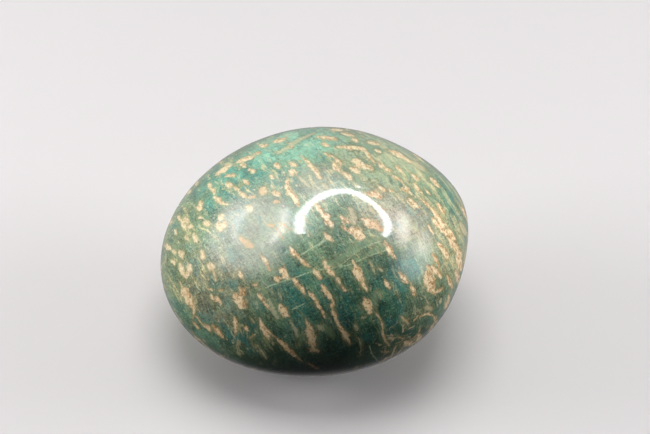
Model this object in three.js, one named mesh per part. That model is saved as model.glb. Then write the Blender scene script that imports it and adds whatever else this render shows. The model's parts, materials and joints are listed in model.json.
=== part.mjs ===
// Amazonite pebble: one tumbled and polished stone, lying on its worn underside.
// Millimetres, +Z up. The origin is the middle of the bounding box's underside,
// which is level with the flat that the stone rests on.

import * as THREE from "three";
import { mergeVertices } from "three/addons/utils/BufferGeometryUtils.js";

// The unworn stone is an egg-like body with three different half lengths.
const HALF_LENGTH = 30.7;
const HALF_WIDTH = 26.2;
const HALF_HEIGHT = 21.5;

// How that body lies: its long axis rises towards +X and turns a little towards +Y.
const PITCH_DEG = 10;
const YAW_DEG = 2.5;

// Tumbling has worn broad, gentle faces into the body. Each looks along an azimuth
// (degrees from +X towards +Y) and an elevation, and has its reach from the middle.
const WORN_FACES = [
  { name: "back right shoulder", azimuth: 52, elevation: 35, reach: 28.9 },
  { name: "right end", azimuth: -10, elevation: -9, reach: 30.6 },
  { name: "back left shoulder", azimuth: 154, elevation: 21, reach: 36 },
  { name: "front underside", azimuth: -93, elevation: -42, reach: 28.3 },
  { name: "front", azimuth: -118, elevation: 14, reach: 27 },
  { name: "back underside", azimuth: 85, elevation: -35, reach: 27 },
];

// The higher this power, the tighter the edge where one face turns into the next.
const WEAR_POWER = 10;

// The flat underneath: its depth below the middle of the body, and half the height
// over which it rounds up into the side.
const REST_DEPTH = 20.4;
const REST_ROUNDING = 0.5;

// Each edge of the starting icosahedron is cut into this many.
const EDGE_CUTS = 18;

const amazonite = new THREE.MeshStandardMaterial({
  name: "amazonite",
  color: 0x4f8a78,
  roughness: 0.22,
  metalness: 0,
});

function facing(azimuthDeg, elevationDeg) {
  const azimuth = THREE.MathUtils.degToRad(azimuthDeg);
  const elevation = THREE.MathUtils.degToRad(elevationDeg);
  return new THREE.Vector3(
    Math.cos(azimuth) * Math.cos(elevation),
    Math.sin(azimuth) * Math.cos(elevation),
    Math.sin(elevation),
  );
}

// A closed triangle mesh of the unworn body, as it lies, with its middle at zero.
function unwornBody() {
  const ball = new THREE.IcosahedronGeometry(1, EDGE_CUTS - 1);
  ball.deleteAttribute("normal");
  ball.deleteAttribute("uv");
  const body = mergeVertices(ball);
  body.scale(HALF_LENGTH, HALF_WIDTH, HALF_HEIGHT);
  const lie = new THREE.Euler(
    0,
    THREE.MathUtils.degToRad(-PITCH_DEG),
    THREE.MathUtils.degToRad(YAW_DEG),
    "ZYX",
  );
  body.applyQuaternion(new THREE.Quaternion().setFromEuler(lie));
  return body;
}

// Pulls a point of the body in towards the middle, most where a worn face is near.
function wear(point, faces) {
  let sum = 1;
  for (const face of faces) {
    const share = Math.max(0, point.dot(face.normal) / face.reach);
    sum += share ** WEAR_POWER;
  }
  point.divideScalar(sum ** (1 / WEAR_POWER));
}

// The height over the rest face: zero on the flat, then a parabola, then as it was.
function settledHeight(height) {
  if (height <= -REST_ROUNDING) return 0;
  if (height >= REST_ROUNDING) return height;
  return (height + REST_ROUNDING) ** 2 / (4 * REST_ROUNDING);
}

function pebbleGeometry() {
  const geometry = unwornBody();
  const faces = WORN_FACES.map(({ azimuth, elevation, reach }) => ({
    normal: facing(azimuth, elevation),
    reach,
  }));
  const position = geometry.getAttribute("position");
  const point = new THREE.Vector3();
  for (let i = 0; i < position.count; i += 1) {
    point.fromBufferAttribute(position, i);
    wear(point, faces);
    position.setXYZ(i, point.x, point.y, settledHeight(point.z + REST_DEPTH));
  }
  geometry.computeBoundingBox();
  const middle = geometry.boundingBox.getCenter(new THREE.Vector3());
  geometry.translate(-middle.x, -middle.y, 0);
  geometry.computeVertexNormals();
  return geometry;
}

const pebble = new THREE.Mesh(pebbleGeometry(), amazonite);
pebble.name = "pebble";

const stone = new THREE.Group();
stone.add(pebble);

export default stone;
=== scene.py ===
# Amazonite pebble: one tumbled, polished stone with cream flecks, on a pale floor in soft light.
import json
import math

import bpy
import numpy as np
from mathutils import Matrix, Vector
from mathutils.bvhtree import BVHTree
from mathutils.kdtree import KDTree

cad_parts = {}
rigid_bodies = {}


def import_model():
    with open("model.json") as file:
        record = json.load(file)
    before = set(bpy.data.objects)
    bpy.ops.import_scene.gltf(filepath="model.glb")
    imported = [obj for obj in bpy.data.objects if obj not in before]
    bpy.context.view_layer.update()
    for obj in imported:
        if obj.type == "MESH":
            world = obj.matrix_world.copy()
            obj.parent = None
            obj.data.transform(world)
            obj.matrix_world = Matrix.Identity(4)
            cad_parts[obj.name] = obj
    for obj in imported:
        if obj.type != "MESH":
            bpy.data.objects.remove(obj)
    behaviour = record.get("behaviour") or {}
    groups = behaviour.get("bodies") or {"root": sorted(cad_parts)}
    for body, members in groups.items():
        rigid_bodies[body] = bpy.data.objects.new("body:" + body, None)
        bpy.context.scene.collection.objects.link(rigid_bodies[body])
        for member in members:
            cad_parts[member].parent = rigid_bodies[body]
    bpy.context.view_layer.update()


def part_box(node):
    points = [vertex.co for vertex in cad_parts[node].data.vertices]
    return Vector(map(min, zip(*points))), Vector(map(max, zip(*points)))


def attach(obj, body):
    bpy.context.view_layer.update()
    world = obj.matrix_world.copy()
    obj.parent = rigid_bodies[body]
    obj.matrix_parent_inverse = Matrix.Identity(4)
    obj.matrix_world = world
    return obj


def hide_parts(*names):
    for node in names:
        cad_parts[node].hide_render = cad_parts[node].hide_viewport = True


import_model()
mm = 0.001  # sizes below are in millimetres, meshes in metres


def arithmetic(operation, swapped=False):  # a method that makes one maths node
    def act(wire, other):
        return wire.pair(operation, other, swapped)
    return act


class Wire:  # a node socket that arithmetic works on
    def __init__(self, bench, socket):
        self.bench = bench
        self.socket = socket
        self.isVector = socket.type == "VECTOR"

    def pair(self, operation, other, swapped):
        first, second = (other, self) if swapped else (self, other)
        vectorial = self.isVector or (isinstance(other, Wire) and other.isVector)
        if not vectorial:
            return self.bench.maths(operation, first, second)
        first, second = [(value,) * 3 if isinstance(value, (int, float)) else value
                         for value in (first, second)]
        return self.bench.vectorMaths(operation, first, second)

    __add__ = arithmetic("ADD")
    __sub__ = arithmetic("SUBTRACT")
    __rsub__ = arithmetic("SUBTRACT", True)
    __mul__ = arithmetic("MULTIPLY")
    __truediv__ = arithmetic("DIVIDE")
    __rtruediv__ = arithmetic("DIVIDE", True)
    __pow__ = arithmetic("POWER")
    atLeast = arithmetic("MAXIMUM")
    atMost = arithmetic("MINIMUM")

    def __neg__(self):
        return self * -1.0

    def __abs__(self):
        return self.bench.maths("ABSOLUTE", self)

    def dot(self, direction):
        return self.bench.vectorMaths("DOT_PRODUCT", self, tuple(direction), output="Value")

    def distance(self, spot):
        return self.bench.vectorMaths("DISTANCE", self, tuple(spot), output="Value")

    def rise(self, low, high):  # 0 at low, 1 at high, smooth between; low may be the larger
        return self.bench.make("ShaderNodeMapRange", {"Value": self, "From Min": low, "From Max": high},
                               interpolation_type="SMOOTHSTEP")


def setStops(ramp, stops):  # each a position and a colour
    ramp.elements.remove(ramp.elements[1])
    ramp.elements[0].position = stops[0][0]
    ramp.elements[0].color = tint(*stops[0][1])
    for position, colour in stops[1:]:
        ramp.elements.new(position).color = tint(*colour)


class Bench:  # makes the nodes of one tree
    def __init__(self, tree):
        self.tree = tree

    def make(self, kind, values=None, output=0, **settings):
        node = self.tree.nodes.new(kind)
        for name, value in settings.items():
            if name == "stops":
                setStops(node.color_ramp, value)
            else:
                setattr(node, name, value)
        for key, value in (values or {}).items():
            if isinstance(value, Wire):
                self.tree.links.new(value.socket, node.inputs[key])
            else:
                node.inputs[key].default_value = value
        if node.outputs:
            return Wire(self, node.outputs[output])

    def maths(self, operation, *values):
        return self.make("ShaderNodeMath", dict(enumerate(values)), operation=operation)

    def vectorMaths(self, operation, *values, output=0):
        return self.make("ShaderNodeVectorMath", dict(enumerate(values)), output, operation=operation)

    def vector(self, *parts):
        return self.make("ShaderNodeCombineXYZ", dict(enumerate(parts)))

    def split(self, wire):
        node = self.tree.nodes.new("ShaderNodeSeparateXYZ")
        self.tree.links.new(wire.socket, node.inputs[0])
        return [Wire(self, output) for output in node.outputs]

    def mix(self, share, base, top):  # colours
        return self.make("ShaderNodeMix", {0: share, 6: base, 7: top}, 2, data_type="RGBA")

    def dim(self, colour, gain):  # a colour made darker or lighter
        return self.make("ShaderNodeVectorMath", {0: colour, 3: gain}, operation="SCALE")

    def noise(self, where, scale, detail=2.0, roughness=0.5, warp=0.0, output=0):
        values = {"Vector": where, "Scale": scale, "Detail": detail, "Roughness": roughness,
                  "Distortion": warp}
        return self.make("ShaderNodeTexNoise", values, output)

    def cells(self, where, scale, feature="F1", output="Color"):
        return self.make("ShaderNodeTexVoronoi", {"Vector": where, "Scale": scale}, output, feature=feature)

    def attribute(self, name):
        return self.make("ShaderNodeAttribute", output="Fac", attribute_name=name)


def emptyBench(owner):  # for a material, a lamp or the world
    owner.use_nodes = True
    owner.node_tree.nodes.clear()
    return Bench(owner.node_tree)


def facing(azimuth, elevation):  # a direction, from angles in degrees
    turn, lift = math.radians(azimuth), math.radians(elevation)
    return Vector((math.cos(turn) * math.cos(lift), math.sin(turn) * math.cos(lift), math.sin(lift)))


def tint(red, green, blue):  # an sRGB colour, 0 to 255, as Blender's linear one
    def linear(value):
        share = value / 255
        return share / 12.92 if share <= 0.04045 else ((share + 0.055) / 1.055) ** 2.4
    return (linear(red), linear(green), linear(blue), 1.0)


# the stone's body
pebble = {
    "halfLength": 30.7, "halfWidth": 26.2, "halfHeight": 21.5,
    "pitch": 10.0, "yaw": 2.5,  # degrees: the right end up, and towards the back
    "wearPower": 10.0,  # how tightly a worn face turns into the rest
    "restDepth": 20.4, "restRounding": 0.5,  # from the middle down to the flat that it rests on
    "edgeCuts": 127,  # each edge of the starting cube
    "swellHeight": 0.16, "swellSize": 11.0,  # slow waves that tumbling leaves in the polish
    "pitDensity": 0.006, "pitRadius": 0.55, "pitDepth": 0.09,  # pits to a square millimetre
    "seed": 7,
}
wornFaces = [  # azimuth and elevation in degrees, reach from the middle
    (52, 35, 28.9), (-10, -9, 30.6), (154, 21, 36.0), (-93, -42, 28.3), (-118, 14, 27.0), (85, -35, 27.0),
]


def pebbleTree():
    tree = bpy.data.node_groups.new("pebbleForm", "GeometryNodeTree")
    face = tree.interface
    face.new_socket("Geometry", in_out="OUTPUT", socket_type="NodeSocketGeometry")
    for name, value in pebble.items():
        kind = "NodeSocketInt" if isinstance(value, int) else "NodeSocketFloat"
        face.new_socket(name, in_out="INPUT", socket_type=kind)
    face.new_socket("polish", in_out="INPUT", socket_type="NodeSocketMaterial")

    bench = Bench(tree)
    entry = tree.nodes.new("NodeGroupInput")
    size = {output.name: Wire(bench, output) for output in entry.outputs if output.name}

    rows = size["edgeCuts"] + 1.0
    cube = bench.make("GeometryNodeMeshCube", {"Size": (2.0, 2.0, 2.0), "Vertices X": rows,
                                              "Vertices Y": rows, "Vertices Z": rows})
    place = bench.make("GeometryNodeInputPosition")
    spread = [bench.maths("TANGENT", part * (math.pi / 4)) for part in bench.split(place)]
    ball = bench.vectorMaths("NORMALIZE", bench.vector(*spread))  # with its corners evenly spread
    egg = ball * bench.vector(size["halfLength"], size["halfWidth"], size["halfHeight"])
    turn = bench.vector(0.0, size["pitch"] * math.radians(-1), size["yaw"] * math.radians(1))
    lying = bench.make("ShaderNodeVectorRotate", {"Vector": egg, "Rotation": turn},
                       rotation_type="EULER_XYZ")
    total = 1.0
    for azimuth, elevation, reach in wornFaces:
        total = (lying.dot(facing(azimuth, elevation)) / reach).atLeast(0.0) ** size["wearPower"] + total
    worn = lying / bench.vector(*[total ** (1.0 / size["wearPower"])] * 3)
    wave = bench.noise(worn, 1.0 / size["swellSize"], 1.0) - 0.5
    swollen = worn + ball * (wave * size["swellHeight"])

    across, back, up = bench.split(swollen)
    height = up + size["restDepth"]
    rounding = size["restRounding"]
    low = height.atLeast(-rounding).atMost(rounding) + rounding
    settled = low * low / (rounding * 4.0) + (height - rounding).atLeast(0.0)
    settled = bench.vector(across, back, settled)
    shaped = bench.make("GeometryNodeSetPosition", {"Geometry": cube, "Position": settled})

    pits = bench.make("GeometryNodeDistributePointsOnFaces",
                      {"Mesh": shaped, "Density": size["pitDensity"], "Seed": size["seed"]})
    nearest = bench.make("GeometryNodeProximity", {0: pits}, "Distance", target_element="POINTS")
    hollow = (1.0 - nearest / size["pitRadius"]).atLeast(0.0)
    normal = bench.make("GeometryNodeInputNormal")
    onSide = bench.split(bench.make("GeometryNodeInputPosition"))[2].rise(0.5, 2.0)
    dent = normal * (hollow * hollow * onSide * size["pitDepth"] * -1.0)
    pitted = bench.make("GeometryNodeSetPosition", {"Geometry": shaped, "Offset": dent})

    metres = bench.make("GeometryNodeTransform", {"Geometry": pitted, "Scale": (mm, mm, mm)})
    smooth = bench.make("GeometryNodeSetShadeSmooth", {"Geometry": metres})
    real = bench.make("GeometryNodeRealizeInstances", {"Geometry": smooth})
    finished = bench.make("GeometryNodeSetMaterial", {"Geometry": real, "Material": size["polish"]})
    bench.make("NodeGroupOutput", {0: finished})
    return tree


def meshFromTree(name, tree, values):
    host = bpy.data.objects.new(name, bpy.data.meshes.new(name))
    bpy.context.scene.collection.objects.link(host)
    modifier = host.modifiers.new("form", "NODES")
    modifier.node_group = tree
    for item in tree.interface.items_tree:
        if item.name in values:
            modifier[item.identifier] = values[item.name]
    ready = host.evaluated_get(bpy.context.evaluated_depsgraph_get())
    host.data = bpy.data.meshes.new_from_object(ready)
    host.data.name = name
    host.modifiers.clear()
    return host


def places(mesh):  # every corner, in millimetres
    values = np.empty(len(mesh.vertices) * 3)
    mesh.vertices.foreach_get("co", values)
    return values.reshape(-1, 3) * 1000.0


def makePebble(polish):
    stone = meshFromTree("polishedStone", pebbleTree(), {**pebble, "polish": polish})
    spots = places(stone.data) * mm
    low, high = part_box("pebble")
    lowest, highest = spots.min(0), spots.max(0)
    fit = min(1.0, *[(high[axis] - low[axis]) / (highest[axis] - lowest[axis]) for axis in range(3)])
    shift = Vector(((low.x + high.x - fit * (lowest[0] + highest[0])) / 2,
                    (low.y + high.y - fit * (lowest[1] + highest[1])) / 2, low.z - fit * lowest[2]))
    stone.data.transform(Matrix.Translation(shift) @ Matrix.Scale(fit, 4))
    return stone, shift + Vector((0, 0, pebble["restDepth"] * mm))


polish = bpy.data.materials.new("polishedAmazonite")
stone, heart = makePebble(polish)  # heart: the middle of the egg that the stone was worn from
print("stone body:", len(stone.data.vertices), "corners")


# the camera, and where a place that it sees lies on the stone
view = {
    "elevation": 48.0,  # degrees above level, looking along +Y
    "lens": 120.2, "sensor": 36.0,
    "distance": 420.0,  # from the heart, along the view
    "offRight": 1.53, "offUp": 6.62,  # how far it stands off the line to the heart
    "clip": (0.02, 20.0),  # metres
}
toCamera = facing(-90, view["elevation"])
rightward = Vector((1, 0, 0))
upward = toCamera.cross(rightward)


def makeCamera():
    lens = bpy.data.cameras.new("camera")
    lens.lens, lens.sensor_width = view["lens"], view["sensor"]
    lens.clip_start, lens.clip_end = view["clip"]
    camera = bpy.data.objects.new("camera", lens)
    bpy.context.scene.collection.objects.link(camera)
    aside = rightward * view["offRight"] + upward * view["offUp"]
    spot = heart + (toCamera * view["distance"] + aside) * mm
    turn = Matrix((rightward, upward, toCamera)).transposed().to_4x4()
    camera.matrix_world = Matrix.Translation(spot) @ turn
    bpy.context.scene.camera = camera
    return spot


cameraSpot = makeCamera()
shell = BVHTree.FromObject(stone, bpy.context.evaluated_depsgraph_get())


def smoothNormal(spot, face):
    total = Vector((0, 0, 0))
    for index in stone.data.polygons[face].vertices:
        corner = stone.data.vertices[index]
        total += corner.normal / ((corner.co - spot).length + 0.02 * mm)
    return total.normalized()


def touch(right, up):  # millimetres from the heart as the camera faces it: the place on the stone
    for attempt in range(60):
        target = heart + (rightward * right + upward * up) * mm
        spot, normal, face, reach = shell.ray_cast(cameraSpot, (target - cameraSpot).normalized())
        if spot is not None:
            return spot, smoothNormal(spot, face)
        right, up = right * 0.99, up * 0.99  # past the rim: a little nearer to the middle


# The pale flecks of this stone, in millimetres from its middle as the camera faces it: the half width,
# or several from end to end, then the places (right, up) that the fleck runs through.
creamFlecks = [
    # front, round the middle
    (0.5, (-0.6, 9.3), (0.4, 8.2), (1, 7.2)), (0.7, (1.3, 7.1), (2, 6.2), (2.9, 4.8)),
    (0.5, (4.6, 6.7), (5.3, 6), (6, 5.6)), (0.4, (5, 4.8), (6.3, 3.6)),
    (0.9, (6.8, 4.2), (7.6, 3.8), (8.6, 2.6)), (0.4, (1.4, 3.5), (2.2, 2.6), (2.9, 2.1)),
    (0.5, (-5.1, 0.6), (-4.4, -0.4), (-3.6, -1.2)),
    ((0.5, 0.4, 0.2), (-3.2, -1.6), (-2.4, -2.3), (-1.4, -3)),
    (0.5, (-0.6, -3.6), (0.2, -4.5), (0.6, -5.1)),
    (0.6, (1.4, -2.2), (1.8, -2.9), (2.8, -4.2), (3.1, -4.5)), (0.35, (3.8, -5.3), (4.6, -6.2)),
    (0.3, (4.9, -6.9), (5.4, -7.6)),
    ((0.35, 0.7, 0.9, 0.7, 0.3), (6.9, -1.9), (7.6, -3.5), (8.4, -5.3), (9.2, -6.8), (9.6, -7.6)),
    (0.7, (-7, -3.6), (-6.3, -4.3), (-5.8, -5.2)), (0.35, (-8.1, -5.1), (-7.5, -5.7)),
    ((0.3, 0.4, 0.3), (-10.8, -0.9), (-9.8, -2), (-9.2, -3.6)),
    (0.5, (-4.5, -5.5), (-3.7, -6.3), (-2.4, -8.1)),
    # back, above the middle
    (0.45, (-10.8, 20.6), (-9.9, 20.3)), (0.4, (-5.3, 20.8), (-5, 20)), (0.5, (-7.5, 21.5), (-6.9, 21.5)),
    (0.4, (0.5, 22.2), (1.8, 22), (3.4, 21.7)), (0.4, (3.5, 23.6), (4.2, 23.4)),
    (0.35, (5.4, 22.8), (6.6, 22.4)), (0.4, (7, 21.9), (7.5, 21.2)), (0.3, (1.1, 20.8), (2, 20.4)),
    (0.35, (4.2, 20.2), (6, 20.1), (8.5, 19.9), (9.1, 19.4)), (0.2, (1.5, 18.9), (3.6, 18.1), (4.8, 16.8)),
    ((0.15, 0.2, 0.3, 0.4, 0.45, 0.4), (-3.1, 18.5), (-1.8, 17.2), (-1.2, 16.6), (-0.4, 15.8),
     (0.1, 14.8), (0.6, 14.2)),
    (0.4, (-5.1, 17.2), (-4.1, 16.6)), (0.5, (-7.9, 16.9), (-7.4, 16.2)), (0.6, (-4.9, 15.6), (-4.6, 14.9)),
    ((0.45, 0.5, 0.45, 0.5, 0.45, 0.4), (-5.7, 13.8), (-5.9, 12.8), (-5.4, 11.7), (-4.6, 10.6),
     (-3.9, 9.7), (-3.5, 8.8)),
    (0.4, (3.3, 17.2), (3.5, 16.2), (4.4, 15.4)), (0.65, (7.4, 17.6), (8.4, 16.8), (9.2, 16.3)),
    (0.4, (6.7, 16.1), (8, 15.3)), (0.45, (5.3, 15.1), (6.4, 14.1)), (0.4, (-8.2, 11.5), (-7.5, 10.9)),
    # front, low on the left
    ((0.7, 0.95, 0.8), (-15.9, -8.6), (-15.2, -9.6), (-14.4, -10.4)), (0.5, (-15, -7.2), (-14.2, -8.3)),
    (0.2, (-14.2, -10.3), (-13.6, -10.8)), ((0.5, 0.4, 0.2), (-11.4, -8.3), (-10.8, -9.2), (-9.4, -11)),
    (0.75, (-7.3, -10.7), (-6.6, -11.5), (-6, -12.4)),
    ((0.35, 0.5, 0.4, 0.35, 0.4), (-1.6, -7.9), (-0.4, -9.3), (0.2, -10.5), (1.2, -12), (1.5, -12.8)),
    ((0.55, 0.6, 0.4, 0.2), (1, -6.8), (2.2, -8.4), (3, -9.3), (3.3, -10.2)),
    ((0.55, 0.55, 0.45, 0.35, 0.6, 0.65, 0.4), (2.8, -10.6), (3, -12), (3.9, -13.5), (4.2, -14.4),
     (4.8, -15.3), (5.5, -16.5), (6.3, -17.8)),
    ((0.25, 0.6, 0.85, 0.85, 0.6), (-2.2, -13.2), (-1.7, -14.6), (-1.4, -15.2), (-1.1, -16.8),
     (-0.6, -18.7)),
    (0.45, (-1.2, -19), (0.1, -19.2)),
    ((0.3, 0.5, 0.65, 0.4), (-11.1, -13.1), (-10.5, -14.8), (-9.6, -16.2), (-9.2, -17.3)),
    (0.2, (-12.8, -13), (-12.3, -13.6)), (0.2, (-13, -16.8), (-12, -16.1)),
    # front, low on the right
    (0.4, (13.2, -5.7), (13.8, -6.8), (14, -7.1)),
    ((0.7, 0.9, 0.8), (9.2, -9.3), (9.9, -10.6), (10.4, -11.7)),
    ((0.3, 0.25, 0.2, 0.25, 0.3, 0.4), (11.2, -11.9), (12.2, -13), (12.7, -14.4), (12.7, -16),
     (13.2, -17.2), (13.9, -18.2)),
    (0.25, (16.4, -12.7), (16.9, -13.6)), (0.2, (17.3, -13.3), (17.7, -14.4)),
    (0.2, (18.8, -13.4), (19.5, -12.6)), (0.25, (20, -12.6), (21.4, -12), (22.5, -12.5)),
    (0.35, (22.7, -12.7), (23.1, -13.4)), (0.12, (15.5, -16.6), (17, -17)),
    (0.12, (18.6, -16.9), (19.5, -16), (19.9, -15.1)), (0.7, (17, -17.5), (18.5, -18.2)),
    # right end
    (0.45, (22.8, 5.8), (24, 4.5), (25.2, 3.4)), (0.4, (25.5, 4), (26.6, 2.4)),
    ((0.4, 0.5, 0.6, 0.5), (25.3, 2.6), (26.5, 1), (27.5, -0.2), (28, -0.7)),
    (0.4, (23.6, 1.3), (24.6, 0.1), (25.2, -1.2)), ((0.3, 0.65, 0.3), (13.2, 1.8), (14, 0.4), (15.1, -1.2)),
    (0.5, (22.4, -3.2), (23.9, -4.9)), (0.2, (21.4, -3), (22.2, -4)),
    ((0.5, 1, 0.9, 0.5), (21.2, -4.2), (21.6, -5.8), (22.2, -7.2), (22.8, -8.3)),
    (0.35, (22.6, -8), (23.6, -7.7), (24.1, -7.3)), (0.35, (22.2, 13.9), (23.4, 12.7)),
    (0.35, (23.5, 8.9), (24.4, 7.6)), (0.7, (27.2, -0.8), (28, -3.2)),
    (0.45, (16, -4.2), (16.8, -5.2), (17.5, -5.9)), (0.4, (18.2, -6.2), (18.3, -7.2), (18.9, -8.5)),
    (0.3, (25.2, -4.8), (26.2, -6.9)), (0.45, (26.8, -4), (27.6, -6.2)), (0.3, (25.4, -8.5), (25.6, -10)),
    (0.2, (12, -8), (12.3, -8.6)), (0.15, (21.6, 4.8), (22.4, 3.6)),
    # back right
    ((0.3, 0.3, 0.25, 0.15), (9, 20), (9.6, 19.2), (10.3, 17.9), (11.2, 17.2)),
    (0.3, (10.2, 21), (11.6, 20.8)), (0.25, (11.5, 19.6), (12.2, 19.2)),
    ((0.4, 0.5, 0.45, 0.4), (14.6, 19.4), (15.5, 18.9), (17.1, 17.9), (18, 17.3)),
    (0.35, (12, 17), (12.7, 16.3)), (0.3, (13.4, 15.8), (14, 15.5)), (0.3, (10, 16.2), (10.6, 15.8)),
    (0.3, (15.5, 16.4), (16.5, 15.3)), ((0.3, 0.25, 0.2), (14.9, 14.5), (15.5, 14.1), (16.4, 13.4)),
    ((0.2, 0.3, 0.2), (16.8, 12.9), (17.6, 12), (18.3, 11)), (0.3, (18.6, 14.6), (19.4, 13.9)),
    (0.3, (18.9, 12.9), (19.6, 12), (20.3, 11.2)), (0.2, (21.2, 11.7), (21.6, 11.2)),
    (0.35, (12, 12.5), (13, 11.8)), (0.2, (14, 11.9), (14.6, 11.6)), (0.2, (16.5, 12.2), (17, 11.5)),
    (0.3, (18, 10), (18.8, 9.2), (19.6, 8.5)), (0.2, (17.4, 9.7), (18.8, 8.4)),
    (0.3, (20.2, 10.1), (20.9, 9.5), (21.6, 8.6)), (0.35, (22.2, 8.2), (23.2, 6.9), (24, 5.8), (24.8, 5.2)),
    (0.4, (22.5, 6.1), (23, 5.5), (24.5, 4.6)),
    # back left
    (0.4, (-15.2, 17.4), (-14, 17.9), (-12.7, 18.1)), (0.35, (-11.9, 18.9), (-11.3, 18.9)),
    (0.3, (-14.6, 16.8), (-13.9, 16.4)), (0.3, (-13.1, 15.9), (-12.2, 15.3)),
    (0.25, (-17.5, 14.6), (-16.1, 14.7)), (0.25, (-14.2, 13.8), (-13.4, 13)),
    (0.4, (-17.5, 13.1), (-16.7, 12.5)), (0.3, (-16.1, 12.4), (-15.3, 11.8)),
    (0.3, (-14.9, 11.3), (-13.9, 10.6)), (0.25, (-20.3, 12.1), (-19.8, 11.2)),
    (0.25, (-9, 14.6), (-8.4, 14.2)), (0.4, (-19.2, 5.2), (-18.6, 4.2)), (0.3, (-27, 6.8), (-26.6, 6.2)),
    (0.3, (-25.5, 6.4), (-25, 5.6)), (0.3, (-27.5, 4), (-27.2, 3.4)), (0.25, (-25.4, 2.7), (-25, 2.4)),
    (0.35, (-23.8, 3.2), (-23.3, 2)), (0.45, (-19, 15.3), (-18, 15.9), (-17.2, 16.5)),
    (0.35, (-20.9, 13), (-20.3, 12)),
    ((0.4, 0.4, 0.25, 0.2), (-19.8, 10.4), (-19.1, 9.9), (-18.8, 9.5), (-17.4, 9.1)),
    (0.5, (-22.8, 9.3), (-22.6, 8.2)), (0.3, (-22.6, 6.5), (-22.2, 6.5)), (0.4, (-21.8, 5.6), (-21, 5.2)),
    (0.5, (-18.8, 6.8), (-18.4, 6.3)), (0.4, (-18, 5.5), (-17.9, 4.9)), (0.4, (-13.4, 8.5), (-12.8, 8.1)),
    (0.3, (-26.3, 6.1), (-25.5, 4.3)), (0.4, (-24.8, 4.9), (-24.2, 4.7)),
    # left end
    (0.35, (-29.5, 1.2), (-28.3, 0.5)), (0.3, (-28, 0.2), (-27.4, -0.1)), (0.4, (-26.6, -0.2), (-26, -1)),
    ((0.45, 0.4, 0.3), (-26.5, -2.6), (-26, -4.2), (-25.4, -5)),
    (0.35, (-24.8, -2.8), (-24.7, -4), (-25.4, -4.8)), (0.3, (-28.2, -1.9), (-27.6, -2.3)),
    (0.4, (-24.9, -2.8), (-24.5, -3.5)), (0.4, (-22.3, -0.2), (-22, -1.2)),
    (0.6, (-20.9, -2.8), (-20.3, -3.1)), (0.15, (-20.3, -3.4), (-20, -4), (-19.6, -5.4)),
    (0.35, (-15, -4.2), (-14.5, -5)),
    ((0.25, 0.4, 0.9, 0.85, 0.5, 0.3, 0.2), (-26.4, -6.2), (-25.8, -7.5), (-25.2, -8.8), (-24.5, -9.8),
     (-23.9, -10.8), (-23.8, -12), (-24, -13)),
    (0.3, (-20.9, -7.4), (-20.5, -7.4)), (0.3, (-20.4, -8.6), (-20, -9.5)),
    (0.45, (-19.5, -8.9), (-18.7, -10)), (0.2, (-13.7, -7), (-13.3, -7)),
    (0.15, (-23.4, -12.5), (-22.2, -14.2)), (0.5, (-16, -13), (-15.6, -14.2), (-15.8, -15.8)),
]
rustyFlecks = [  # orange or tan ones
    ((0.25, 0.4, 0.55, 0.45, 0.2), (-8.7, -16.2), (-7.3, -17.3), (-6, -18.6), (-4.6, -20), (-3, -21.2)),
    (0.5, (-9.2, 5), (-8.8, 5)), (0.15, (-7.1, 5.6), (-5.3, 4.2)), (0.15, (-8, 4.5), (-6.7, 2.6)),
    (0.15, (-3, 7.4), (-2.1, 5.8)), (0.6, (-10.6, 12), (-10.3, 11.3)), (0.4, (-7.9, 9.6), (-7.5, 9.6)),
    (0.35, (-13.8, -14.8), (-13.3, -15.4)), (0.3, (-1.5, -21.8), (0.2, -22.8)),
    (0.35, (13.1, -19.5), (13.5, -19.5)),
    ((0.5, 0.9, 0.8, 0.5), (8.9, 6.2), (10.2, 5.5), (11.6, 4.8), (12.5, 4.2)),
    (0.25, (22.5, -0.8), (23.5, -2.5)), ((0.4, 0.6, 0.6), (9.6, 11.2), (11.2, 11.1), (12.2, 10.5)),
    (0.3, (28.1, 8.2), (28.7, 7.1), (29, 6.2)), (0.3, (12.2, 8.8), (12.9, 8)),
    (0.45, (-12.8, 10.5), (-12.4, 10.5)), ((0.35, 0.45, 0.5), (-14.8, 2.4), (-13.6, 1.6), (-12.7, 1)),
    (0.45, (-21.3, -14.6), (-20.8, -15.3)), (0.5, (-20, -14.6), (-19, -15.8), (-18.5, -16.4)),
    (0.3, (-23.9, -13.8), (-23, -14.8)), (0.5, (-12.3, -6.4), (-11.9, -6.4)),
    (0.4, (-18.8, -7.5), (-18.4, -7.5)),
]
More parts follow.
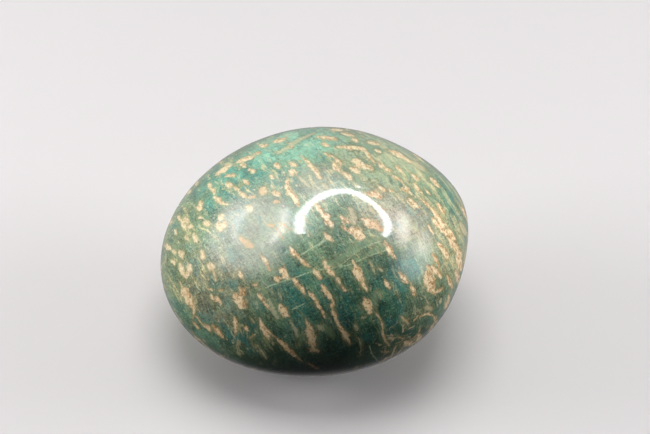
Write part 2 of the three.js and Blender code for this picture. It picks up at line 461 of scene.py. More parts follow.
greenishFlecks = [  # pale ones, faint under the polish
    (0.7, (6.5, 8), (7, 6.5), (7.2, 5.5)), (0.3, (-7.4, 19), (-3.6, 21.5), (-2.2, 22.2), (-0.7, 22.8)),
    (0.25, (-3.5, 14.4), (-2.7, 13.6), (-1.6, 12.6)), (0.3, (1.2, 12.8), (2, 12.2)),
    (0.6, (-9.3, -9.5), (-8.6, -11), (-7.7, -12.8)), (0.2, (-7.5, -8), (-6.9, -9.2)),
    ((0.15, 0.3, 0.4, 0.3), (-5.4, -13), (-4.8, -14.3), (-4.2, -15.2), (-3.8, -16.6)),
    (0.4, (0.4, -14.4), (1, -15.2)), (0.15, (-11.5, -18.2), (-11, -19), (-9.8, -20.8)),
    (0.3, (8.9, -12.8), (9.3, -12.8)), (0.5, (20.8, -10.9), (22.2, -11.2)),
    (0.3, (7.3, -14.3), (7.8, -15.2)), (0.12, (8, -16.8), (8.5, -18), (8.4, -20)),
    (0.5, (27.8, 5), (28.9, 3.5)), (0.25, (28.8, 0.6), (29.1, -2.4)), (0.3, (10.3, -2.2), (11.2, -4.2)),
    (0.25, (11.9, -3.3), (12.7, -3.9)), (0.4, (19, 17), (20.3, 16)), (0.3, (10.8, 13.7), (11.2, 13.7)),
    (0.4, (10.2, 8.3), (11, 7.5)), (0.3, (-17.6, 17), (-16.5, 16.8)), (0.35, (-29, -5.8), (-28.6, -5.8)),
]
veinLines = [  # healed cracks
    ((0.1, 0.15, 0.2, 0.22, 0.22, 0.2, 0.2, 0.15), (-11.2, -7.5), (-8, -6.3), (-5, -5.4), (-3, -4.6),
     (-1.2, -4), (0.3, -3.7), (3.6, -3.2), (5, -2.4), (7.3, -0.2), (9.4, 0.9), (12.1, 1.9)),
    (0.12, (7.9, -1.9), (10.4, -0.8), (13.2, 0.2)), (0.12, (-3.7, -1.1), (-1.2, 0.5), (2.1, 2.4)),
    (0.1, (3.6, -3.2), (6.4, -2.6), (7.9, -1.9)), (0.1, (-4.6, -11.2), (-3.4, -10.7), (-2.6, -10.2)),
    (0.1, (0.4, 1.2), (1.5, 2.5)), (0.1, (10.2, -18.5), (10.6, -20), (11.8, -21.3)),
]
greenBands = [  # lighter, translucent green
    ((0.3, 0.7, 0.8, 0.7, 0.4), (0, -2.9), (3.6, -2.2), (6.6, 0.2), (9.4, 1.7), (12.4, 2.6)),
    (0.5, (9, -1), (11.5, 0.3), (13.4, 0.9)), (0.5, (-8.7, -9.4), (-7.9, -10.6), (-7.4, -12.6)),
    (0.6, (-10.2, -7.4), (-9.6, -8.8)), (0.4, (-3.2, -16.2), (-3.4, -18)), (0.5, (11.3, -8.4), (11, -10.4)),
    (0.6, (1.6, -14.2), (2.6, -16.2)),
]


# where flecks, bands and cracks run, kept at each corner of the mesh for the finish to read
crystal = {
    "lamella": Vector((0.84, 0.52, 0.145)).normalized(),  # across the sheets that the flecks follow
    "cleavage": Vector((-0.407, 0.679, 0.611)).normalized(),  # across the second set of sheets
}
crystal["along"] = crystal["lamella"].cross(crystal["cleavage"]).normalized()
hiddenFlecks = {
    "count": 620, "seed": 41,
    "length": (1.2, 6.5), "halfWidth": (0.25, 0.85),
    "rusty": 0.16, "greenish": 0.2,  # shares
    "wander": 12.0, "curl": 3.0,  # degrees off the sheets, and of turn at each step
    "facing": 0.2, "clear": 0.9, "lift": 0.1,  # most cosine to the camera; least gap to others, to the floor
}
laying = {
    "step": 0.28,  # between the places kept along a fleck
    "fleckReach": 1.4, "veinReach": 2.4,  # how far past its edge each is still felt
    "leastTurn": 0.35,  # no width grows past three times where the stone turns away
}


def evenSpots(spots, step):  # a line through the spots, as evenly spaced places
    spots = np.array(spots, float)
    gaps = np.linalg.norm(np.diff(spots, axis=0), axis=1)
    reach = np.concatenate([[0.0], np.cumsum(gaps)])
    stops = np.linspace(0.0, reach[-1], max(2, round(reach[-1] / step) + 1))
    return np.stack([np.interp(stops, reach, course) for course in spots.T], 1)


def rounded(spots):  # cuts the corners of a line once
    if len(spots) < 3:
        return spots
    result = [spots[0]]
    for a, b in zip(spots, spots[1:]):
        a, b = np.array(a, float), np.array(b, float)
        result += [a * 0.75 + b * 0.25, a * 0.25 + b * 0.75]
    return result + [spots[-1]]


def seenTrail(spots):  # the same line on the stone, where the camera sees it
    trail = []
    for right, up in evenSpots(rounded(spots), laying["step"]):
        spot, normal = touch(right, up)
        trail.append((np.array(spot) * 1000, np.array(normal)))
    return trail


def trueWidths(trail, widths):  # widths as the camera sees them, made wider where the stone turns away
    spots = np.array([spot for spot, normal in trail])
    result = []
    for course, (spot, normal), width in zip(np.gradient(spots, axis=0), trail, widths):
        course = Vector(course).normalized()
        side = Vector(normal).cross(course)
        flatCourse = (course - toCamera * course.dot(toCamera)).normalized()
        flatSide = side - toCamera * side.dot(toCamera)
        result.append(width / max(laying["leastTurn"], flatSide.cross(flatCourse).length))
    return np.array(result)


def hiddenTrail(spot, normal, length, dice):  # follows the lamellae over the stone from one place
    turn = math.radians(dice.normal(0, hiddenFlecks["wander"]))
    if abs(normal.dot(crystal["lamella"])) > 0.8:  # where the stone is cut along a sheet, any way will do
        turn = dice.uniform(0, math.pi)
    trail = []
    for step in range(max(3, int(length / laying["step"]))):
        trail.append((np.array(spot) * 1000, np.array(normal)))
        course = normal.cross(crystal["lamella"]).normalized()
        side = normal.cross(course)
        turn += math.radians(dice.normal(0, hiddenFlecks["curl"]))
        course = course * math.cos(turn) + side * math.sin(turn)
        spot, normal, face, reach = shell.find_nearest(spot + course * laying["step"] * mm)
        normal = smoothNormal(spot, face)
    return trail


def halfWidths(widths, count, widest=0.5, tip=0.45):  # along a fleck, drawn in towards its tips
    widths = np.atleast_1d(np.array(widths, float))
    share = np.linspace(0, 1, count)
    spread = np.interp(share, np.linspace(0, 1, len(widths)), widths)
    bent = np.where(share < widest, share / widest, (1 - share) / (1 - widest))
    return spread * (tip + (1 - tip) * np.sin(bent * math.pi / 2) ** 0.8)


class Field:  # keeps the nearest trail's distance at every corner
    def __init__(self, tree, corners, reach):
        self.tree, self.corners, self.reach = tree, corners, reach
        self.depth = np.full(len(corners), -reach)
        self.across = np.full(len(corners), reach)
        self.half = np.zeros(len(corners))
        self.tone = np.zeros(len(corners))

    def add(self, trail, widths, tone):
        spots = np.array([spot for spot, normal in trail])
        courses = np.gradient(spots, axis=0)
        courses /= np.linalg.norm(courses, axis=1)[:, None] + 1e-9
        for (spot, normal), course, width in zip(trail, courses, widths):
            found = [index for place, index, gap in self.tree.find_range(spot, width + self.reach)]
            if not found:
                continue
            found = np.array(found)
            gap = self.corners[found] - spot
            depth = width - np.linalg.norm(gap, axis=1)
            nearer = depth > self.depth[found]
            kept = found[nearer]
            self.depth[kept] = depth[nearer]
            side = np.cross(normal, course)
            side *= np.sign(side @ np.array(crystal["lamella"])) or 1.0
            self.across[kept] = gap[nearer] @ side
            self.half[kept] = width
            self.tone[kept] = tone


def keepField(name, values):
    layer = stone.data.attributes.new(name, "FLOAT", "POINT")
    layer.data.foreach_set("value", values.astype(np.float32))


def layFields():
    corners = places(stone.data)
    tree = KDTree(len(corners))
    for index, corner in enumerate(corners):
        tree.insert(corner, index)
    tree.balance()

    flecks = Field(tree, corners, laying["fleckReach"])
    dice = np.random.default_rng(hiddenFlecks["seed"])
    for tone, group in ((-2.0, greenBands), (0.0, creamFlecks), (1.0, rustyFlecks), (-1.0, greenishFlecks)):
        for widths, *spots in group:
            trail = seenTrail(spots)
            spread = halfWidths(widths, len(trail), dice.uniform(0.35, 0.7))
            flecks.add(trail, trueWidths(trail, spread), tone)

    polygons = stone.data.polygons
    for attempt in range(hiddenFlecks["count"]):
        face = int(dice.integers(len(polygons)))
        length = dice.uniform(*hiddenFlecks["length"])
        width = dice.uniform(*hiddenFlecks["halfWidth"])
        kind = dice.random()
        spot, normal = polygons[face].center, polygons[face].normal
        seen = normal.dot((cameraSpot - spot).normalized())
        index = tree.find(np.array(spot) * 1000)[1]
        taken = flecks.depth[index] > -hiddenFlecks["clear"]
        if seen > hiddenFlecks["facing"] or taken or spot.z < hiddenFlecks["lift"] * mm:
            continue
        trail = hiddenTrail(spot.copy(), normal.copy(), length, dice)
        shape = (width, width * dice.uniform(0.5, 1.0), width * dice.uniform(0.4, 1.0))
        tone = 1.0 if kind < hiddenFlecks["rusty"] else -1.0 if kind > 1 - hiddenFlecks["greenish"] else 0.0
        flecks.add(trail, halfWidths(shape, len(trail), dice.uniform(0.25, 0.75)), tone)

    lines = Field(tree, corners, laying["veinReach"])
    for widths, *spots in veinLines:
        trail = seenTrail(spots)
        lines.add(trail, halfWidths(widths, len(trail), tip=0.6), 0.0)

    for part in ("depth", "across", "half", "tone"):
        keepField("fleck" + part.capitalize(), getattr(flecks, part))
    for part in ("depth", "across"):
        keepField("vein" + part.capitalize(), getattr(lines, part))


layFields()
print("flecks and veins laid")


# the stone's finish
stoneColours = {  # sRGB, 0 to 255, here and in the tables below
    "teal": (100, 136, 112), "blueTeal": (58, 120, 116), "green": (112, 142, 98),
    "olive": (150, 154, 108), "straw": (214, 202, 154), "pale": (156, 176, 140),
    "mist": (204, 198, 162), "vein": (184, 206, 168), "band": (122, 158, 120),
    "crack": (212, 192, 152), "outline": (70, 58, 34), "rust": (186, 130, 74),
    "brown": (120, 82, 46), "edge": (176, 158, 112), "bit": (228, 210, 166),
    # the shade colour is a painted shade, laid over the low front of the stone
    "shade": (30, 56, 40), "soft": (196, 190, 156), "glow": (244, 212, 158),
}
groundZones = [  # colour, middle (right, up), full out to, gone at, how strongly
    ((78, 112, 89), (3, -9), 10, 17, 0.9),
    ((98, 162, 144), (-16, 14), 4, 10, 0.9),
    ((150, 203, 176), (-4, 21), 5, 12, 0.9),
    ((164, 178, 146), (13, 18), 6, 13, 0.85),
    ((162, 164, 128), (26, -1), 4, 10, 0.65),
    ((128, 142, 108), (-28, 0), 6, 12, 0.85),
    ((144, 140, 114), (-20, -8), 5, 10, 0.75),
    ((124, 134, 116), (-14, 5), 5, 11, 0.8),
    ((114, 144, 114), (5, 3), 6, 11, 0.8),
    ((152, 156, 134), (1, 14), 2, 7, 0.7),
    ((54, 116, 104), (-4, -9), 3, 8, 0.75),
    ((46, 88, 70), (9, -13), 5, 10, 0.85),
    ((62, 106, 90), (14, -4), 2, 7, 0.8),
    ((104, 118, 92), (21, -10), 2, 6, 0.7),
    ((70, 86, 60), (-12, -18), 4, 9, 0.75),
    ((142, 152, 132), (-11, -5), 2, 8, 0.45),
    ((180, 168, 146), (12, 9), 2, 6, 0.5),
    ((180, 158, 138), (18.5, 6), 3, 8, 0.5),
]
backZones = [  # the same, round the back, with the middle as azimuth and elevation
    ((150, 158, 120), (150, 2), 7, 14, 0.7),
    ((176, 168, 130), (24, 2), 8, 14, 0.7),
    ((70, 126, 110), (100, 10), 6, 14, 0.7),
]
fleckRamp = [
    (0.26, (252, 236, 198)), (0.42, (246, 221, 178)), (0.53, (228, 197, 154)),
    (0.64, (200, 163, 117)), (0.78, (156, 115, 72)),
]
regions = {  # parts of the stone with a look of their own: middle (right, up), gone at, full within
    "low": ((3, -15), 19.0, 9.0),  # darker, with few bits in it
    "quietLeft": ((-12, 3), 11.0, 6.0),  # smoother, with fewer streaks
    "quietRight": ((18, 3), 8.5, 4.0),
    "streaky": ((22, 9), 19.0, 10.0),
    "softLeft": ((-21, 8), 18.0, 12.0),  # wider flecks without dark edges
    "rightEnd": ((26, 1), 13.0, 6.0),
    "crackNet": ((16, -17.5), 7.5, 4.0),
}
grownNoise = {  # drawn out with the crystal: scales by lamella, cleavage and along; detail, roughness
    "hue": (0.55, 0.3, 0.25, 3.0, 0.6),
    "streaks": (1.1, 0.2, 0.24, 4.0, 0.62), "longStreaks": (1.1, 0.11, 0.13, 3.0, 0.55),
    "threads": (3.6, 0.5, 0.6, 3.0, 0.6), "broad": (0.5, 0.25, 0.2, 4.0, 0.6),
    "hatch": (3.6, 0.7, 0.8, 2.0, 0.6), "crossHatch": (0.6, 3.4, 0.8, 2.0, 0.6),
    "nibbles": (2.6, 1.3, 1.3, 2.0, 0.55), "fray": (6.0, 2.2, 2.2, 3.0, 0.65),  # at the flecks' edges
    "blotch": (1.7, 0.9, 0.9, 4.0, 0.65), "gaps": (3.4, 2.0, 2.0, 3.0, 0.65),  # in the flecks
}
evenNoise = {  # alike in all directions: scale, detail, roughness
    "grain": (1.7, 3.0, 0.6), "grit": (3.6, 2.0, 0.6), "granular": (0.3, 3.0, 0.6),
    "veinFray": (1.2, 3.0, 0.65), "veinGaps": (0.9, 3.0, 0.6), "netGaps": (1.1, 3.0, 0.65),
    "lumps": (0.95, 2.0, 0.5), "specks": (1.9, 3.0, 0.65),
}
finish = {
    "roughness": 0.3, "fleckRoughness": 0.42, "coatRoughness": 0.035, "coatIor": 1.5,
    "sheetWave": 2.0, "zoneWobble": 9.0,  # millimetres that sheets and zones wander
    "patchSize": (2.2, 3.2, 4.6),  # of a crystal, across both sheets and along them
    "streaks": 0.8, "longStreaks": 0.58, "grains": 0.75,  # how strongly each shows, here and below
    "grain": 1.1, "grit": 2.4,
    "fringe": 0.6, "outline": 0.55, "edging": 0.5, "specks": 0.5, "gaps": 0.8,
    "wider": 0.15,  # what soft flecks gain on each side
}
ranges = {  # of a pattern: where a thing starts to show, where it's full, and its strength if not 1
    "calm": (6.0, 16.0, 0.5), "shade": (13.0, 20.0, 0.7),  # millimetres above the middle, and below it for the painted shade
    "blueTeal": (0.52, 0.66, 0.45), "green": (0.46, 0.32, 0.35), "patches": (0.6, 1.0, 0.4),
    "streaks": (0.51, 0.66), "streakThreads": (0.36, 0.6), "longStreaks": (0.49, 0.62),
    "glints": (0.16, 0.36, 0.5),
    "bitSize": (0.4, 1.0, 0.28), "bits": (-0.07, 0.1), "grainSize": (0.35, 1.0, 0.34),
    "grains": (-0.05, 0.08), "granular": (0.42, 0.62), "brownGrains": (0.6, 0.9), "dots": (0.16, 0.07, 0.4),
    "onVein": (-0.1, 0.2), "veinLine": (0.22, 0.02), "veinGaps": (0.24, 0.44),
    "netLine": (0.08, 0.0), "netGaps": (0.42, 0.6),
    "fleck": (-0.14, 0.18), "fringe": (-0.95, 0.05), "fringeThreads": (0.38, 0.62),
    "outline": (-0.4, -0.08), "outlineGaps": (-0.05, 0.15), "edging": (0.35, -0.05),
    "deeper": (0.5, 0.0, 0.08), "specks": (0.59, 0.68), "gaps": (0.54, 0.68), "nearGaps": (0.75, 0.15),
}


def shown(pattern, name):  # how strongly a thing shows
    low, high, *most = ranges[name]
    share = pattern.rise(low, high)
    return share * most[0] if most else share


def paint(base, share, top):  # one colour over another, each a name, sRGB or a wire
    base, top = [stoneColours.get(colour, colour) for colour in (base, top)]
    base, top = [tint(*colour) if isinstance(colour, tuple) else colour for colour in (base, top)]
    return share.bench.mix(share, base, top)


class AmazoniteSkin:  # the stone's colours, each laid over the ones before
    def __init__(self, bench):
        self.bench = bench
        self.place = bench.make("ShaderNodeTexCoord", output="Object") * 1000.0 - tuple(heart * 1000)
        waved = self.stirred(self.place, 0.15, 2.0, finish["sheetWave"])
        self.ways = [waved.dot(crystal[way]) for way in ("lamella", "cleavage", "along")]
        self.drifted = self.stirred(self.place, 0.16, 3.0, finish["zoneWobble"])

        self.dark = self.within("low")
        self.quiet = self.within("quietRight").atLeast(self.within("quietLeft")) * 0.7
        self.calm = shown(self.drifted.dot(upward), "calm")
        self.soft = self.within("softLeft").atLeast(self.calm * 1.4)
        # painted shade: darker the further below the middle a place lies, and more so to the right
        rightSide = bench.split(self.drifted)[0]
        drop = rightSide * 0.12 + rightSide.atLeast(0.0) * 0.08 - self.drifted.dot(upward)
        self.shade = shown(drop, "shade")

        patchPlace = self.stirred(self.sheets(*[1 / size for size in finish["patchSize"]]), 0.6, 2.0, 0.8)
        self.patch = bench.split(bench.cells(patchPlace, 1.0))
        self.threads = self.grown("threads")
        self.hatch = self.grown("hatch") - 0.5
        self.crossHatch = self.grown("crossHatch") - 0.5
        self.grain = self.even("grain") - 0.5
        self.grit = self.even("grit") - 0.5
        self.findFlecks()

    def stirred(self, where, scale, detail, amount, roughness=0.5):  # moved about a little
        shift = self.bench.noise(self.place, scale, detail, roughness, output=1) - 0.5
        return where + shift * amount

    def sheets(self, *scales):  # the place in the crystal's own directions
        return self.bench.vector(*[way * scale for way, scale in zip(self.ways, scales)])

    def grown(self, name, warp=0.0):
        *scales, detail, roughness = grownNoise[name]
        return self.bench.noise(self.sheets(*scales), 1.0, detail, roughness, warp)

    def even(self, name):
        return self.bench.noise(self.place, *evenNoise[name])

    def within(self, name):  # 1 in a region, 0 outside
        middle, gone, full = regions[name]
        return self.drifted.distance((touch(*middle)[0] - heart) * 1000).rise(gone, full)

    def findFlecks(self):  # how far inside a fleck a place lies, and what kind the fleck is
        across, half, depth, tone = [self.bench.attribute("fleck" + part)
                                     for part in ("Across", "Half", "Depth", "Tone")]
        self.rusty = tone.atLeast(0.0)
        self.faint = (-tone).atLeast(0.0).atMost(1.0)
        self.banded = (-tone - 1.0).atLeast(0.0)
        self.side = across / half.atLeast(0.12)
        lumps = self.even("lumps") - 0.5
        self.nibbles = self.grown("nibbles") - 0.5
        self.fray = self.grown("fray") - 0.5
        ragged = (lumps * 1.2 + self.nibbles * 1.3) * (half + 0.25).atMost(1.0) + self.fray * 0.7
        gain = self.soft.atLeast(self.within("rightEnd")) * finish["wider"]
        self.inside = (half - abs(across)).atMost(depth + 0.15) + ragged + gain
        self.fleck = shown(self.inside, "fleck")


def zonedGround(skin):  # broad zones and crystal patches
    zones = [(touch(*zone[1])[0], zone) for zone in groundZones]
    outside = 40 * mm  # from the heart, past the skin on every side
    zones += [(shell.find_nearest(heart + facing(*zone[1]) * outside)[0], zone) for zone in backZones]
    ground = "teal"
    for spot, (colour, middle, full, gone, share) in zones:
        far = skin.drifted.distance((spot - heart) * 1000)
        ground = paint(ground, far.rise(gone, full) * share, colour)
    hue = skin.grown("hue")
    ground = paint(ground, shown(hue, "blueTeal"), "blueTeal")
    ground = paint(ground, shown(hue, "green"), "green")
    return paint(ground, shown(skin.patch[0], "patches"), "blueTeal")


def streaked(skin, ground):  # pale streaks along the sheets, and longer ones on the right
    share = shown(skin.grown("streaks", 0.2), "streaks") * shown(skin.threads, "streakThreads")
    share = share * (finish["streaks"] - skin.dark * 0.3) * (1.0 - skin.quiet)
    ground = paint(ground, share, paint("straw", skin.dark, "olive"))
    share = shown(skin.grown("longStreaks"), "longStreaks") * skin.within("streaky")
    return paint(ground, share * (finish["longStreaks"] - skin.quiet * 0.7), "straw")


def grained(skin, ground):  # lighter and darker by sheet, patch and grain
    wide = skin.hatch * 1.3 + skin.crossHatch * 0.9 - (skin.patch[1] - 0.5) * 0.4
    wide = (skin.grown("broad") - 0.5) * 0.7 + wide * (skin.dark * 0.4 + 1.0)
    fine = skin.grain * finish["grain"] + skin.grit * finish["grit"]
    fine = fine * (1.0 - skin.quiet * 0.6) * (1.0 - skin.calm)
    gain = wide * (1.0 - skin.calm * 0.6) + fine + 1.0
    ground = skin.bench.dim(ground, gain.atLeast(0.3))
    return paint(ground, shown(skin.hatch + skin.crossHatch + skin.grit, "glints"), "pale")


def withBits(skin, ground):  # broken bits of albite between the flecks, and grains and dots of it
    bench = skin.bench
    bitPlace = skin.stirred(skin.sheets(0.85, 0.45, 0.45), 1.3, 3.0, 1.3, 0.6)
    bit = bench.split(bench.cells(bitPlace, 1.0))
    size = shown(bit[0], "bitSize") + 0.03 - skin.dark * 0.2 - skin.quiet * 0.1
    far = bench.cells(bitPlace, 1.0, "F1", "Distance")
    share = shown(size - far + skin.grit * 0.5, "bits") * (bit[2] * 0.5 + 0.3)
    ground = paint(ground, share, paint("olive", bit[1], "bit"))

    grainPlace = skin.stirred(skin.sheets(1.9, 1.2, 1.2), 2.2, 2.0, 0.8)
    grain = bench.split(bench.cells(grainPlace, 1.0))
    far = bench.cells(grainPlace, 1.0, "F1", "Distance")
    granular = shown(skin.even("granular"), "granular") * (1.0 - skin.dark * 0.7)
    share = shown(shown(grain[0], "grainSize") - far, "grains")
    share = share * granular * (1.0 - skin.quiet * 0.7) * finish["grains"]
    ground = paint(ground, share, paint("bit", shown(grain[1], "brownGrains"), "brown"))

    far = bench.cells(skin.place, 0.62, "F1", "Distance")
    return paint(ground, shown(far, "dots"), "mist")


def cracked(skin, ground):  # healed cracks, and a net of fine ones
    bench = skin.bench
    fray = (skin.even("veinFray") - 0.5) * 0.5
    onVein = shown(bench.attribute("veinDepth") + 0.3, "onVein")
    line = shown(abs(bench.attribute("veinAcross") + fray), "veinLine") * onVein
    line = line * (skin.grit * 2.6 + 0.8) * shown(skin.even("veinGaps"), "veinGaps")
    ground = paint(ground, line.atLeast(0.0).atMost(0.85), "vein")
    net = bench.cells(skin.stirred(skin.place * 0.4, 1.1, 3.0, 0.4), 1.0, "DISTANCE_TO_EDGE", "Distance")
    share = skin.within("crackNet") * shown(skin.even("netGaps"), "netGaps")
    return paint(ground, shown(net, "netLine") * share, "crack")


def edged(skin, ground):  # an olive fringe and a dark line round the flecks
    fringe = shown(skin.inside, "fringe") * shown(skin.threads, "fringeThreads")
    ground = paint(ground, fringe * finish["fringe"], "olive")
    line = shown(skin.inside, "outline") * shown(skin.nibbles + skin.fray, "outlineGaps")
    return paint(ground, line * (finish["outline"] - skin.soft * 0.4), "outline")


def fleckColours(skin):
    bench, dark, soft = skin.bench, skin.dark, skin.soft
    blotch = (skin.grown("blotch") - 0.5) * (dark * 0.7 + 1.5) + 0.5
    deeper = shown(skin.inside, "deeper") - dark * 0.12 - 0.01
    mottle = blotch + skin.side * 0.07 + skin.fray * 0.3 + skin.grit * 0.7 + deeper
    body = bench.make("ShaderNodeValToRGB", {0: mottle}, stops=fleckRamp)
    body = paint(body, dark * 0.5, "glow")
    body = paint(body, skin.rusty * (skin.quiet * 0.75 + 0.18), "rust")
    body = paint(body, skin.faint * 0.65, paint("mist", dark * 0.7, "vein"))
    body = paint(body, skin.banded, "band")
    edging = shown(skin.inside, "edging") * (1.0 - skin.faint) * (finish["edging"] - soft * 0.3)
    body = paint(body, edging, paint("edge", dark * 0.6, "brown"))
    specks = skin.even("specks") + skin.rusty * 0.03 + skin.side * 0.03
    specks = shown(specks - skin.banded * 0.2 + dark * 0.02, "specks")
    body = paint(body, specks * (dark * 0.22 - soft * 0.35 + finish["specks"]), "brown")
    # painted shade over the flecks at the low front as well
    body = paint(body, skin.shade * 0.15, "outline")
    return paint(body, soft * 0.45, "soft")


def fleckCover(skin):  # how much of the ground the flecks hide
    gaps = shown(skin.grown("gaps"), "gaps") * shown(skin.inside, "nearGaps") * finish["gaps"]
    veil = (skin.hatch + skin.grain + 0.5).atLeast(0.0).atMost(1.0)
    return skin.fleck * (0.96 - skin.faint * (veil * 0.42 + 0.12) - skin.banded * 0.2) * (1.0 - gaps)


def amazoniteFinish(material):
    bench = emptyBench(material)
    skin = AmazoniteSkin(bench)
    ground = withBits(skin, grained(skin, streaked(skin, zonedGround(skin))))
    ground = paint(ground, skin.shade, "shade")  # painted shade: the low front darkened, standing in for the shade that falls there
    ground = edged(skin, cracked(skin, ground))
    polishGaps = (skin.grit * 1.8 + skin.grain * 0.5) * (1.0 - skin.quiet * 0.8)
    shader = bench.make("ShaderNodeBsdfPrincipled", {
        "Base Color": paint(ground, fleckCover(skin), fleckColours(skin)),
        "Roughness": skin.fleck * (finish["fleckRoughness"] - finish["roughness"]) + finish["roughness"],
        "Coat Weight": (polishGaps + 0.85 - skin.fleck * 0.2).atLeast(0.2).atMost(1.0),
        "Coat Roughness": finish["coatRoughness"], "Coat IOR": finish["coatIor"],
    })
    bench.make("ShaderNodeOutputMaterial", {"Surface": shader})


amazoniteFinish(polish)
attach(stone, "root")
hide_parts("pebble")
print("amazonite finish made")


# floor and lights
studio = {
    "floorSize": 3000.0, "floor": tint(206, 203, 204), "floorRoughness": 0.7,
    "nearRoom": (0.03, 0.03, 0.032), "farRoom": (0.26, 0.25, 0.25),  # in front of the stone, and behind it
    "farRise": (-0.1, 0.75),  # from the near room to the far one, along +Y
    "floorGlow": (0.4, 0.39, 0.36),  # what the rim of the stone mirrors, low behind it
    "glowAway": (0.6, 0.9), "glowDown": (-0.86, -0.66),  # where it fades: away from the camera, down
    "lampDistance": 400.0, "fillDistance": 500.0,  # from the stone, and from its heart
}
archLight = {  # the bright arch: where the polish shows it, end to end, and how wide each stretch is
    "spots": [(-3.2, 3.45), (-3.45, 5.5), (-2.8, 7.45), (-1.25, 9.15), (0.65, 10.5), (3.1, 11.5),
              (5.0, 11.7), (7.34, 11.4), (9.85, 9.91), (11.59, 8.55), (12.95, 7.01), (13.72, 5.26),
              (13.72, 3.9), (12.9, 3.0)],
    "widths": (66, 64, 56, 50, 52, 52, 46, 41, 38, 42, 51, 58, 50),
    "overlap": 1.12, "radiance": 19.0,  # each lamp a little longer than its stretch
}
windowLights = [  # middle (right, up) and half size on the stone, radiance, how far out it holds, colour
    ((-11.0, 5.0), (7.0, 6.8), 0.6, 0.34, (1.0, 0.93, 0.92)),  # the one with bright sides
    ((-16.6, 7.8), (4.2, 4.6), 2.6, 0.1, (1.0, 0.9, 0.9)),
    ((-14.0, 2.2), (11.4, 17.0), 2.8, 0.5, (1.0, 0.92, 0.9)),
    ((-3.5, 13.2), (14.0, 5.2), 1.7, 0.2, (1.0, 0.96, 0.95)),
    ((16.9, 4.5), (1.9, 4.6), 6.8, 0.3, (1.0, 0.93, 0.88)),
    ((20.5, 1.8), (2.0, 4.2), 1.7, 0.3, (1.0, 0.93, 0.88)),
    ((18.4, 5.0), (7.5, 9.0), 1.2, 0.3, (1.0, 0.9, 0.87)),
    ((19.3, -2.0), (4.5, 5.4), 2.6, 0.4, (0.88, 0.95, 1.0)),
]
brightSides = {"left": 4.4, "right": 6.5, "radius": 0.68, "width": 0.22}  # on a ring across the first window
fillLights = [  # azimuth, elevation, size, radiance
    (80, 82, 320.0, 4.7), (176, 12.5, 260.0, 10.0), (4, 14.5, 260.0, 8.3),
]


def lampSpot(right, up):  # where a lamp hangs that the polish shows there
    spot, normal = touch(right, up)
    sight = (spot - cameraSpot).normalized()
    bounce = sight - normal * (2 * sight.dot(normal))
    return spot + bounce * studio["lampDistance"] * mm


def hangLamp(name, spot, edge, width, length, radiance, colour=(1, 1, 1)):  # width along edge
    lamp = bpy.data.lights.new(name, "AREA")
    lamp.shape = "RECTANGLE"
    lamp.size, lamp.size_y = width * mm, length * mm
    lamp.energy = radiance * 4.0 * lamp.size * lamp.size_y  # in watts: four to a unit of radiance and area
    lamp.color = colour
    piece = bpy.data.objects.new(name, lamp)
    bpy.context.scene.collection.objects.link(piece)
    back = (spot - heart).normalized()
    side = (edge - back * edge.dot(back)).normalized()
    turn = Matrix((side, back.cross(side), back)).transposed().to_4x4()
    piece.matrix_world = Matrix.Translation(spot) @ turn
    piece.visible_camera = False
    return piece


def softenLamp(piece, pattern):  # pattern gives the glow from two places across the lamp, each -1 to 1
    bench = emptyBench(piece.data)
    x, y = bench.split((bench.make("ShaderNodeNewGeometry", output="Parametric") - 0.5) * 2.0)[:2]
    shine = bench.make("ShaderNodeEmission", {"Strength": pattern(bench, x, y)})
    bench.make("ShaderNodeOutputLight", {"Surface": shine})


def windowGlow(radiance, soft, sides=None):  # fades towards its edges
    def pattern(bench, x, y):
        out = bench.maths("SQRT", x * x + y * y)
        glow = out.rise(1.0, soft) * radiance
        if sides:
            ring = abs(out - sides["radius"]).rise(sides["width"], 0.0)
            ring = ring * (abs(x) / out.atLeast(0.05)).rise(0.3, 0.95)
            glow = glow + ring * (x.rise(-0.3, 0.3) * (sides["right"] - sides["left"]) + sides["left"])
        return glow
    return pattern


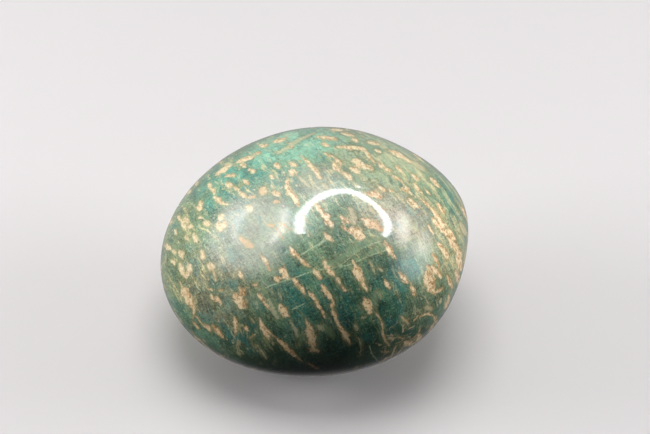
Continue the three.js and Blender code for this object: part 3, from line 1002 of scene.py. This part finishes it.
def lightStudio():
    spots = [lampSpot(*spot) for spot in archLight["spots"]]
    for index, (first, second, width) in enumerate(zip(spots, spots[1:], archLight["widths"])):
        edge = second - first
        lamp = hangLamp("archLamp%02d" % index, (first + second) / 2, edge,
                        edge.length * 1000 * archLight["overlap"], width, archLight["radiance"])
        lamp.visible_diffuse = False
        softenLamp(lamp, lambda bench, x, y: abs(y).rise(1.0, 0.0))
    for index, ((right, up), (wide, tall), radiance, soft, colour) in enumerate(windowLights):
        edge = lampSpot(right + wide, up) - lampSpot(right - wide, up)
        rise = lampSpot(right, up + tall) - lampSpot(right, up - tall)
        lamp = hangLamp("windowLamp%02d" % index, lampSpot(right, up), edge, edge.length * 1000,
                        rise.length * 1000, 1.0, colour)
        lamp.visible_diffuse = False
        softenLamp(lamp, windowGlow(radiance, soft, brightSides if index == 0 else None))
    for index, (azimuth, elevation, size, radiance) in enumerate(fillLights):
        spot = heart + facing(azimuth, elevation) * (studio["fillDistance"] * mm)
        lamp = hangLamp("fillLamp%02d" % index, spot, Vector((0, 1, 0)), size, size, radiance)
        lamp.visible_glossy = False


def layFloor():
    size = studio["floorSize"] / 2 * mm
    sheet = bpy.data.meshes.new("floor")
    corners = [(-size, -size, 0), (size, -size, 0), (size, size, 0), (-size, size, 0)]
    sheet.from_pydata(corners, [], [(0, 1, 2, 3)])
    floor = bpy.data.objects.new("floor", sheet)
    bpy.context.scene.collection.objects.link(floor)
    material = bpy.data.materials.new("paleFloor")
    material.use_nodes = True
    shader = material.node_tree.nodes["Principled BSDF"]
    shader.inputs["Base Color"].default_value = studio["floor"]
    shader.inputs["Roughness"].default_value = studio["floorRoughness"]
    sheet.materials.append(material)
    floor.visible_glossy = False
    floor.visible_diffuse = False  # so its paleness doesn't light the stone from below


def softWorld():
    world = bpy.data.worlds.new("softRoom")
    bpy.context.scene.world = world
    bench = emptyBench(world)
    way = bench.make("ShaderNodeTexCoord", output="Generated")
    ahead = way.dot((0, 1, 0)).rise(*studio["farRise"])
    room = bench.mix(ahead, (*studio["nearRoom"], 1), (*studio["farRoom"], 1))
    below = way.dot(-toCamera).rise(*studio["glowAway"]) * way.dot((0, 0, 1)).rise(*studio["glowDown"])
    around = bench.mix(below, room, (*studio["floorGlow"], 1))
    sky = bench.make("ShaderNodeBackground", {"Color": around})
    bench.make("ShaderNodeOutputWorld", {"Surface": sky})


layFloor()
lightStudio()
softWorld()
bpy.context.scene.view_settings.view_transform = "Standard"
print("floor and lights placed")
